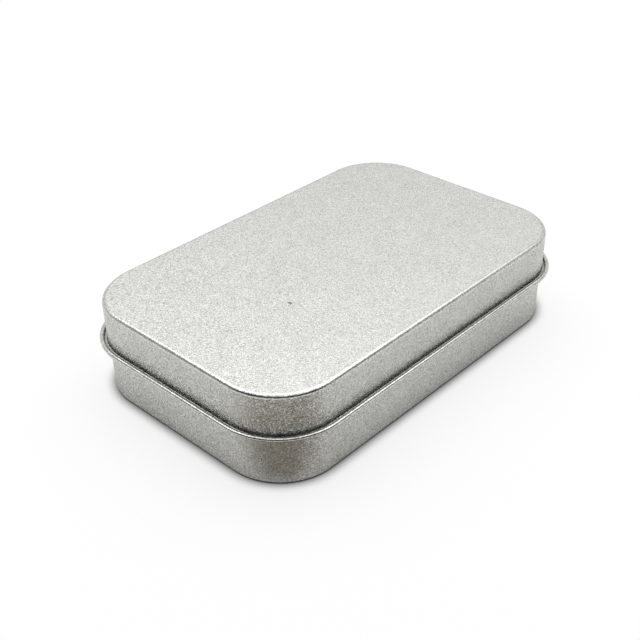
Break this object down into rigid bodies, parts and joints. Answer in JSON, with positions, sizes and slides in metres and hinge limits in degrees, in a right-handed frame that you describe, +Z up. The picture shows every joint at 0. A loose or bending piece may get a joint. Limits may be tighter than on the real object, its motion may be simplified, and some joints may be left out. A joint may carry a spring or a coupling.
{
  "type": "hinged mint tin",
  "caption": "Small rectangular pocket tin of bare satin tinplate: rounded corners, a flip-up lid with a rolled edge, and an open tray base with an inward rolled rim.",
  "frame": {"origin": "middle of the footprint, on the plane that the tin stands on", "axes": "+X along the length, +Y across the width towards the hinge side, +Z up; the long front side that the lid is lifted by faces -Y"},
  "size_m": [0.0962, 0.0622, 0.021],
  "materials": {
    "tinplate": "satin, fine stone-finish grain"
  },
  "bodies": {
    "base": {"base": "tinplate"},
    "lid": {"lid": "tinplate"}
  },
  "joints": [
    {"name": "lid_hinge", "type": "hinge", "parent": "base", "child": "lid", "pos_m": [0, 0.02865, 0.0102], "axis": [-1, 0, 0], "range_deg": [0, 105]}
  ]
}
